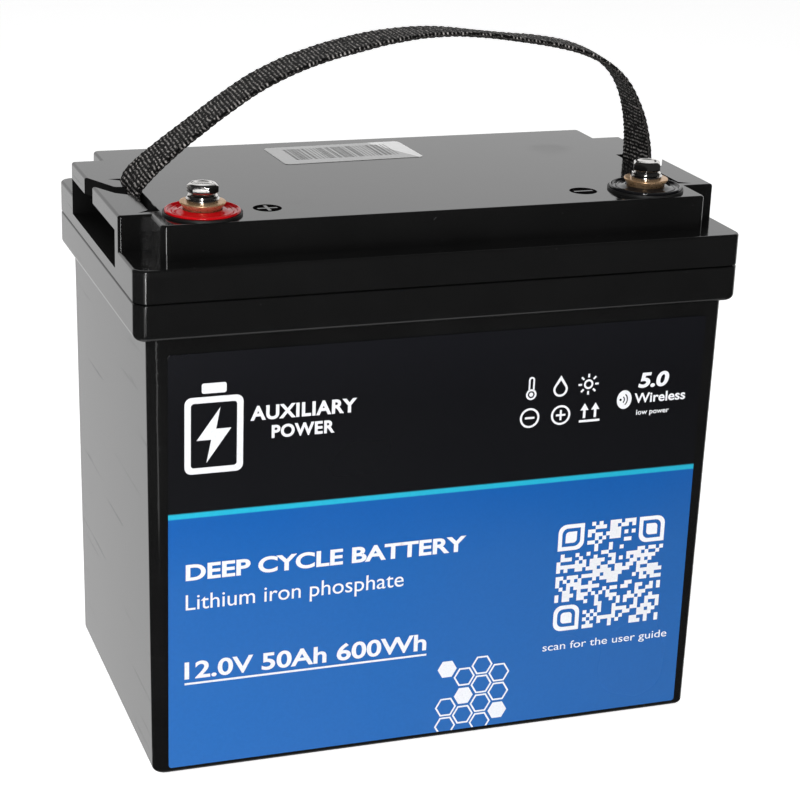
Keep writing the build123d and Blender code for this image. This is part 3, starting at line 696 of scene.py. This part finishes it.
def strap_lean(line, along):
    """Twist of the webbing in radians at each step of its middle line."""
    outside = along[line[:, 1] > LID_TOP_Z]
    share = (along - outside[0]) / (outside[-1] - outside[0])
    lean = np.interp(share, *zip(*LEAN))
    lean *= np.clip((line[:, 1] - LEAN_FOOT_Z) / (LEAN_FULL_Z - LEAN_FOOT_Z), 0, 1)
    kernel = np.ones(LEAN_EVENED) / LEAN_EVENED
    lean = np.pad(lean, LEAN_EVENED // 2, mode="edge")
    return np.radians(np.convolve(lean, kernel, mode="valid"))


def build_strap(looks):
    """Woven band, one mesh from the loop round one bar to the loop round the other."""
    line = smooth_through(strap_route(), STRAP_STEP)
    count = len(line)
    along = np.arange(count) * STRAP_STEP
    tangent = np.gradient(line, axis=0)
    tangent /= np.linalg.norm(tangent, axis=1)[:, None]
    normal = np.stack([-tangent[:, 1], tangent[:, 0]], axis=1)
    lean = strap_lean(line, along)

    half = STRAP_WIDTH / 2
    columns = int(2 * half / STRAP_STEP)
    across = np.linspace(-half, half, columns + 1)
    edge = np.sqrt(np.clip(1 - (np.abs(across) / half) ** EDGE_SQUARENESS, 0, 1))
    scallop = SCALLOP * np.cos(TAU * along / RIB_PITCH)

    rows = np.empty((count, 2 * columns, 3))
    raised = np.empty(rows.shape[:2])
    uv = np.empty((*rows.shape[:2], 2))
    faces = [(1, c) for c in range(columns + 1)] + [(-1, c) for c in range(columns - 1, 0, -1)]
    for k, (side, c) in enumerate(faces):
        y, crown = across[c], edge[c]
        shift = UNDERSIDE_SHIFT if side < 0 else 0.0
        height = weave_height(along + shift, np.full(count, y))
        offset = side * crown * (STRAP_THICKNESS / 2 - RIB_SUNK + RIB_HEIGHT * height)
        reach = y * (1 + (scallop / half) * (np.abs(y) / half) ** 6)
        out = reach * np.sin(lean) + offset * np.cos(lean)
        rows[:, k, 0] = line[:, 0] + normal[:, 0] * out
        rows[:, k, 1] = STRAP_Y + reach * np.cos(lean) - offset * np.sin(lean)
        rows[:, k, 2] = line[:, 1] + normal[:, 1] * out
        # drives the webbing's painted shade: low points and the band's rounded edges come out
        # darker
        raised[:, k] = height * (0.25 + 0.75 * crown)
        uv[:, k, 0] = along * MM
        uv[:, k, 1] = (y + (UNDERSIDE_UV if side < 0 else 0)) * MM
    mesh = grid_mesh("webbing", rows * MM, caps=True)
    smooth(mesh, 80)
    attribute = mesh.attributes.new("raised", "FLOAT", "POINT")
    attribute.data.foreach_set("value", raised.ravel().astype(np.float32))
    layer = mesh.uv_layers.new(name="UVMap")
    corners = np.empty(len(mesh.loops), np.int32)
    mesh.loops.foreach_get("vertex_index", corners)
    layer.data.foreach_set("uv", uv.reshape(-1, 2)[corners].ravel().astype(np.float32))
    piece = add_object("carry_strap_webbing", mesh, looks["webbing"])
    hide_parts("carry_strap", "strap_end_left", "strap_end_right")
    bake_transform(piece)


# ---- print on the label ------------------------------------------------------------
def circle(x, z, radius, steps=36, squeeze=1.0):
    angles = [TAU * i / steps for i in range(steps)]
    return [(x + radius * squeeze * math.cos(a), z + radius * math.sin(a)) for a in angles]


def hexagon(x, z, radius):
    return circle(x, z, radius, 6)


def rounded(x0, x1, z0, z1, radii):
    """Rectangle with its own radius at each corner: low left, low right, high right, high left."""
    centres = [(x0, z0, 1, 1, 180), (x1, z0, -1, 1, 270), (x1, z1, -1, -1, 0), (x0, z1, 1, -1, 90)]
    points = []
    for (x, z, inward_x, inward_z, start), radius in zip(centres, radii):
        if radius:
            points += arc(x + inward_x * radius, z + inward_z * radius, radius, start, start + 90)
        else:
            points.append((x, z))
    return points


def bar(start, stop, width):
    """Straight stroke with square ends."""
    (x0, z0), (x1, z1) = start, stop
    length = math.hypot(x1 - x0, z1 - z0)
    nx, nz = -(z1 - z0) / length * width / 2, (x1 - x0) / length * width / 2
    return [(x0 + nx, z0 + nz), (x0 - nx, z0 - nz), (x1 - nx, z1 - nz), (x1 + nx, z1 + nz)]


def plate(loops, thickness=PRINT_THICKNESS):
    """Thin raised mesh over closed outlines; an outline inside another is a hole."""
    curve = bpy.data.curves.new("print", "CURVE")
    curve.dimensions = "2D"
    curve.fill_mode = "BOTH"
    curve.extrude = thickness / 2
    for loop in loops:
        spline = curve.splines.new("POLY")
        spline.points.add(len(loop) - 1)
        for point, (x, z) in zip(spline.points, loop):
            point.co = (x, z, 0, 1)
        spline.use_cyclic_u = True
    return baked(curve)


def baked(curve):
    """Mesh of a curve or text, which is removed."""
    obj = bpy.data.objects.new("print", curve)
    bpy.context.scene.collection.objects.link(obj)
    bpy.context.view_layer.update()
    graph = bpy.context.evaluated_depsgraph_get()
    mesh = bpy.data.meshes.new_from_object(obj.evaluated_get(graph))
    bpy.data.objects.remove(obj)
    bpy.data.curves.remove(curve)
    return mesh


def text_mesh(words, bold=0.0, slant=0.0, spacing=1.0):
    curve = bpy.data.curves.new("words", "FONT")
    curve.body = words
    curve.size = 1.0
    curve.offset = bold
    curve.shear = slant
    curve.space_character = spacing
    curve.resolution_u = 6
    curve.extrude = PRINT_THICKNESS / 2
    return baked(curve)


def extent(mesh, axis):
    values = [v.co[axis] for v in mesh.vertices]
    return min(values), max(values)


def lettering(words, x0, x1, base, cap, bold=0.0, slant=0.0, spacing=1.0):
    """Words fitted between two x values on a base line, with capitals of a given height."""
    capital = text_mesh("H", bold)
    low, high = extent(capital, 1)
    bpy.data.meshes.remove(capital)
    mesh = text_mesh(words, bold, slant, spacing)
    left, right = extent(mesh, 0)
    wide, tall = (x1 - x0) / (right - left), cap / (high - low)
    for v in mesh.vertices:
        v.co.x = x0 + (v.co.x - left) * wide
        v.co.y = base + (v.co.y - low) * tall
    return mesh


def label_print(name, meshes, material, cut_foot=False):
    """Flat print meshes drawn in (x, height) stood up on the label's face."""
    mesh = joined(name, meshes)
    upright = Matrix(((1, 0, 0), (0, 0, -1), (0, 1, 0))).to_4x4()
    lift = Matrix.Translation((0, LABEL_FACE_Y - PRINT_THICKNESS / 2 + PRINT_SUNK, 0))
    mesh.transform(Matrix.Scale(MM, 4) @ lift @ upright)
    if cut_foot:
        work = bmesh.new()
        work.from_mesh(mesh)
        everything = work.verts[:] + work.edges[:] + work.faces[:]
        foot = (0, 0, (LABEL_FOOT_Z + 0.1) * MM)
        cut = bmesh.ops.bisect_plane(work, geom=everything, plane_co=foot, plane_no=(0, 0, -1),
                                     clear_outer=True)
        rim = [g for g in cut["geom_cut"] if isinstance(g, bmesh.types.BMEdge)]
        bmesh.ops.holes_fill(work, edges=rim)
        work.to_mesh(mesh)
        work.free()
    add_object(name, mesh, material, "case")


def battery_emblem():
    """Upright battery outline with a bolt inside it."""
    body = [rounded(-97.6, -76.2, 118.6, 147.4, [2.6] * 4),
            rounded(-95.3, -78.5, 120.9, 145.1, [1.2] * 4)]
    cap = [rounded(-91.4, -82.4, 148.6, 152.4, [0.8] * 4)]
    bolt = [[(-84.6, 143.2), (-93.2, 131.2), (-87.9, 131.2), (-89.6, 122.6), (-80.6, 135.2),
             (-86.1, 135.2)]]
    return [plate(body), plate(cap), plate(bolt)]


def pictograms():
    """Six plain signs: heat, damp, light; more, less, upright."""
    made = []
    x, z = 33.9, 140.5
    made.append(plate([circle(x, z - 2.6, 2.1), circle(x, z - 2.6, 1.35)]))
    made.append(plate([circle(x, z - 2.6, 0.8, 20)]))
    made.append(plate([rounded(x - 1.2, x + 1.2, z - 0.9, z + 4.3, [0, 0, 1.2, 1.2]),
                       rounded(x - 0.55, x + 0.55, z - 0.9, z + 3.6, [0, 0, 0.5, 0.5])]))
    x, z = 45.6, 140.3
    drop = [(x, z + 4.2)] + arc(x, z - 1.3, 2.9, 25, -205, 20)
    inner = [(x, z + 2.3)] + arc(x, z - 1.3, 2.05, 25, -205, 20)
    made.append(plate([drop, inner]))
    x, z = 56.9, 140.1
    made.append(plate([circle(x, z, 1.9), circle(x, z, 1.15)]))
    for i in range(8):
        a = TAU * i / 8
        made.append(plate([bar((x + 2.7 * math.cos(a), z + 2.7 * math.sin(a)),
                               (x + 4.1 * math.cos(a), z + 4.1 * math.sin(a)), 0.75)]))
    x, z = 33.8, 128.7
    made.append(plate([circle(x, z, 3.9), circle(x, z, 3.1)]))
    made.append(plate([bar((x - 1.9, z), (x + 1.9, z), 0.8)]))
    x, z = 46.3, 128.8
    made.append(plate([circle(x, z, 3.9), circle(x, z, 3.1)]))
    made.append(plate([bar((x, z + 0.45), (x, z + 2.0), 0.8)]))
    made.append(plate([bar((x, z - 0.45), (x, z - 2.0), 0.8)]))
    made.append(plate([bar((x - 1.9, z), (x + 1.9, z), 0.8)]))
    x, z = 58.1, 129.0
    arrow = [(0, 3.6), (-1.7, 0.9), (-0.5, 0.9), (-0.5, -2.2), (0.5, -2.2), (0.5, 0.9), (1.7, 0.9)]
    for middle in (x - 2.2, x + 2.2):
        made.append(plate([[(middle + dx, z + dz) for dx, dz in arrow]]))
    made.append(plate([bar((x - 4.2, z - 3.4), (x + 4.2, z - 3.4), 0.9)]))
    return made


def crescent(x, z, radius, width, half_turn):
    """Arc-shaped stroke that opens to the left."""
    return (arc(x, z, radius + width / 2, -half_turn, half_turn, 10)
            + arc(x, z, radius - width / 2, half_turn, -half_turn, 10))


def radio_sign():
    """White oval with a dot and two waves left out of it."""
    x, z = 72.0, 132.75
    return [plate([circle(x, z, 3.7, 40, 0.82), circle(x - 1.5, z, 0.5, 16),
                   crescent(x - 1.5, z, 1.55, 0.5, 48), crescent(x - 1.5, z, 2.8, 0.5, 48)])]


def code_modules(cell):
    """Seeded square modules, with the three corners left free."""
    rng = random.Random(41)
    made = bmesh.new()
    free = CODE_MARK_MODULES + 1
    grow = 0.03                     # so that neighbours run together
    levels = -PRINT_THICKNESS / 2, PRINT_THICKNESS / 2
    for row in range(CODE_MODULES):
        for column in range(CODE_MODULES):
            near_left, near_right = column < free, column >= CODE_MODULES - free
            near_foot, near_top = row < free, row >= CODE_MODULES - free
            if (near_left and (near_foot or near_top)) or (near_right and near_top):
                continue
            if rng.random() > 0.5:
                continue
            x, z = CODE_X + column * cell - grow, CODE_Z + row * cell - grow
            far_x, far_z = x + cell + 2 * grow, z + cell + 2 * grow
            corners = ((x, z), (far_x, z), (far_x, far_z), (x, far_z))
            base, face = [[made.verts.new((*c, level)) for c in corners] for level in levels]
            made.faces.new(face)
            for i in range(4):
                j = (i + 1) % 4
                made.faces.new((base[i], base[j], face[j], face[i]))
    modules = bpy.data.meshes.new("modules")
    made.to_mesh(modules)
    made.free()
    return modules


def square_code():
    """A made-up square pattern of modules with three leaf-shaped corner marks."""
    cell = CODE_SIZE / CODE_MODULES
    meshes = [code_modules(cell)]
    wide = CODE_MARK_MODULES * cell
    far = CODE_SIZE - wide
    corners = [(CODE_X, CODE_Z, (1, 0, 1, 1)), (CODE_X, CODE_Z + far, (0, 1, 0, 1)),
               (CODE_X + far, CODE_Z + far, (1, 0, 1, 0))]
    for x, z, bends in corners:
        loops = []
        for inset, bend in ((0, 3.4), (1.05 * cell, 2.4), (2 * cell, 1.4)):
            loops.append(rounded(x + inset, x + wide - inset, z + inset, z + wide - inset,
                                 [bend * b for b in bends]))
        meshes += [plate(loops[:2]), plate(loops[2:])]
    return meshes


def honeycomb():
    """Hexagon outlines and a few filled ones, cut off by the label's foot."""
    pitch = HEXAGON_PITCH
    filled = {(1, 1), (3, 0), (0, 3)}
    shown = {(0, 0), (0, 1), (0, 3), (1, 0), (1, 1), (1, 2), (2, 0), (2, 1), (2, 2), (2, 3),
             (3, 0), (3, 1), (3, 2)}
    meshes = []
    for column, row in sorted(shown):
        x = 5.6 + column * pitch * math.sqrt(3) / 2 * 1.02
        z = 4.6 + row * pitch + (pitch / 2 if column % 2 else 0)
        if (column, row) in filled:
            meshes.append(plate([hexagon(x, z, 3.9)]))
        else:
            meshes.append(plate([hexagon(x, z, 4.35), hexagon(x, z, 3.6)]))
    return meshes


def build_label_print():
    """Generic words and signs on the front label."""
    ink = print_ink()
    label_print("label_emblem", battery_emblem(), ink)
    label_print("label_name", [
        lettering("AUXILIARY", -73.6, -34.0, 137.0, 5.4, 0.035, spacing=1.08),
        lettering("POWER", -65.7, -42.1, 129.8, 4.9, 0.035, spacing=1.08)], ink)
    label_print("label_pictograms", pictograms(), ink)
    label_print("label_wireless", radio_sign() + [
        lettering("5.0", 77.4, 90.0, 136.9, 5.9, 0.035, 0.15),
        lettering("Wireless", 76.2, 97.4, 130.9, 3.9, 0.02),
        lettering("low power", 77.4, 91.0, 126.2, 2.0, 0.012)], ink)
    label_print("label_headline", [
        lettering("DEEP CYCLE BATTERY", -97.1, 10.8, 77.6, 6.3, 0.03)], ink)
    label_print("label_subline", [
        lettering("Lithium iron phosphate", -97.1, -13.5, 66.0, 6.0)], ink)
    label_print("label_rating", [
        lettering("12.0V 50Ah 600Wh", -97.5, -3.4, 38.2, 6.9, 0.022),
        plate([bar((-97.5, 36.3), (-3.2, 36.3), 0.8)])], ink)
    label_print("label_code", square_code(), ink)
    label_print("label_small_line", [
        lettering("scan for the user guide", 44.9, 97.9, 31.4, 3.1)], ink)
    label_print("label_honeycomb", honeycomb(), ink, cut_foot=True)


def build_sticker_print():
    """Seeded bars on the lid's sticker, turned with it."""
    low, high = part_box("barcode_sticker")
    middle = (low + high) / 2
    rng = random.Random(12)
    meshes = []
    x, x_end, y_low, y_high = BAR_FIELD
    while x < x_end:
        width = rng.choice(BAR_WIDTHS)
        meshes.append(plate([rounded(x, x + width, y_low, y_high, [0] * 4)], 0.04))
        x += width + rng.choice(BAR_GAPS)
    mesh = joined("bars", meshes)
    place = Matrix.Translation((middle.x, middle.y, high.z + 0.015 * MM))
    place = place @ Matrix.Rotation(math.radians(STICKER_TURN), 4, "Z")
    mesh.transform(place @ Matrix.Scale(MM, 4))
    add_object("sticker_bars", mesh, sticker_ink(), "case")


# ---- studio ------------------------------------------------------------------------
def world_range(make, limits):
    """Smooth step of a value between two limits, to two brightnesses."""
    made = make("ShaderNodeMapRange")
    made.interpolation_type = "SMOOTHSTEP"
    for socket, value in zip(made.inputs[1:5], limits):
        socket.default_value = value
    return made


def build_world():
    """Bright surroundings behind the object, dark ones behind the camera, white backdrop."""
    world = bpy.data.worlds.new("studio")
    bpy.context.scene.world = world
    world.use_nodes = True
    tree = world.node_tree
    tree.nodes.clear()
    make = tree.nodes.new
    link = tree.links.new
    direction = make("ShaderNodeTexCoord")
    split = make("ShaderNodeSeparateXYZ")
    link(direction.outputs["Generated"], split.inputs[0])
    toward = make("ShaderNodeVectorMath")
    toward.operation = "DOT_PRODUCT"
    link(direction.outputs["Generated"], toward.inputs[0])
    toward.inputs[1].default_value = (0.4, 1.0, 0.0)
    rear = world_range(make, (0.55, 0.78, WORLD_FRONT, WORLD_REAR))
    link(toward.outputs["Value"], rear.inputs["Value"])
    below = world_range(make, (-0.80, -0.93, 0.0, WORLD_BELOW))
    link(split.outputs["Z"], below.inputs["Value"])
    brighter = make("ShaderNodeMath")
    brighter.operation = "MAXIMUM"
    link(rear.outputs["Result"], brighter.inputs[0])
    link(below.outputs["Result"], brighter.inputs[1])
    lit = make("ShaderNodeBackground")
    link(brighter.outputs[0], lit.inputs["Strength"])
    backdrop = make("ShaderNodeBackground")
    backdrop.inputs["Color"].default_value = (1, 1, 1, 1)
    seen = make("ShaderNodeLightPath")
    choose = make("ShaderNodeMixShader")
    link(seen.outputs["Is Camera Ray"], choose.inputs["Fac"])
    link(lit.outputs[0], choose.inputs[1])
    link(backdrop.outputs[0], choose.inputs[2])
    out = make("ShaderNodeOutputWorld")
    link(choose.outputs[0], out.inputs["Surface"])


def area_light(name, place, target, size, power, mirrored=False):
    """A soft panel that lights the object, or a mirrored one that only its gloss shows."""
    data = bpy.data.lights.new(name, "AREA")
    data.shape = "RECTANGLE"
    data.size, data.size_y = size
    data.energy = power
    obj = bpy.data.objects.new(name, data)
    bpy.context.scene.collection.objects.link(obj)
    obj.location = place
    obj.rotation_euler = (Vector(target) - Vector(place)).to_track_quat("-Z", "Y").to_euler()
    obj.visible_glossy = mirrored
    obj.visible_diffuse = not mirrored
    obj.visible_camera = False


def build_lights():
    area_light("front_fill", (-0.35, -1.6, 1.1), (0, 0, 0.12), (1.4, 1.2), 18)
    area_light("top_fill", (0.1, -0.2, 1.7), (0, 0, 0.2), (1.6, 1.2), 4)
    area_light("left_key", (-1.1, -0.4, 0.9), (0, 0, 0.22), (0.6, 0.6), 7)
    area_light("tall_strip", (-0.335, -0.80, 0.25), (-0.085, 0, 0.25), (0.05, 0.6), 2.4, True)
    area_light("flash", (-0.22, -0.82, 0.42), (0, 0, 0.2), (0.05, 0.05), 0.5, True)
    area_light("low_card", (-0.49, -0.80, -0.12), (-0.085, 0, 0.2), (0.16, 0.26), 0.16, True)


def build_floor():
    """Plain near-white floor, far larger than the object."""
    mesh = bpy.data.meshes.new("floor")
    corners = [(6 * x, 6 * y, 0) for x, y in ((-1, -1), (1, -1), (1, 1), (-1, 1))]
    mesh.from_pydata(corners, [], [(0, 1, 2, 3)])
    s = Surface("floor")
    s.set(Base_Color=(0.9, 0.9, 0.9, 1), Roughness=0.9)
    s.set(Emission_Color=(1, 1, 1, 1), Emission_Strength=0.75)
    floor = add_object("floor", mesh, s.material)
    floor.location.z = -0.0002
    floor.visible_glossy = False
    floor.visible_shadow = False


def build_camera():
    data = bpy.data.cameras.new("camera")
    data.sensor_width = 36
    data.lens = CAMERA_LENS
    data.shift_x, data.shift_y = CAMERA_SHIFT
    data.clip_start, data.clip_end = 0.01, 50
    camera = bpy.data.objects.new("camera", data)
    bpy.context.scene.collection.objects.link(camera)
    turn = Matrix.Rotation(math.radians(CAMERA_YAW), 4, "Z")
    turn = turn @ Matrix.Rotation(math.radians(90 - CAMERA_PITCH), 4, "X")
    turn = turn @ Matrix.Rotation(math.radians(CAMERA_ROLL), 4, "Z")
    camera.matrix_world = Matrix.Translation(CAMERA_PLACE) @ turn
    bpy.context.scene.camera = camera


def main():
    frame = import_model()
    looks = materials()
    for part in frame["record"]["subparts"]:
        mesh = frame["nodes"][part["node"]].data
        mesh.materials.clear()
        mesh.materials.append(looks[part["material_slot"]])
    build_terminals(looks)
    build_strap(looks)
    build_label_print()
    build_sticker_print()
    build_world()
    build_lights()
    build_floor()
    build_camera()
    view = bpy.context.scene.view_settings
    view.view_transform = "Standard"
    view.look = "None"
    bpy.context.view_layer.update()


main()
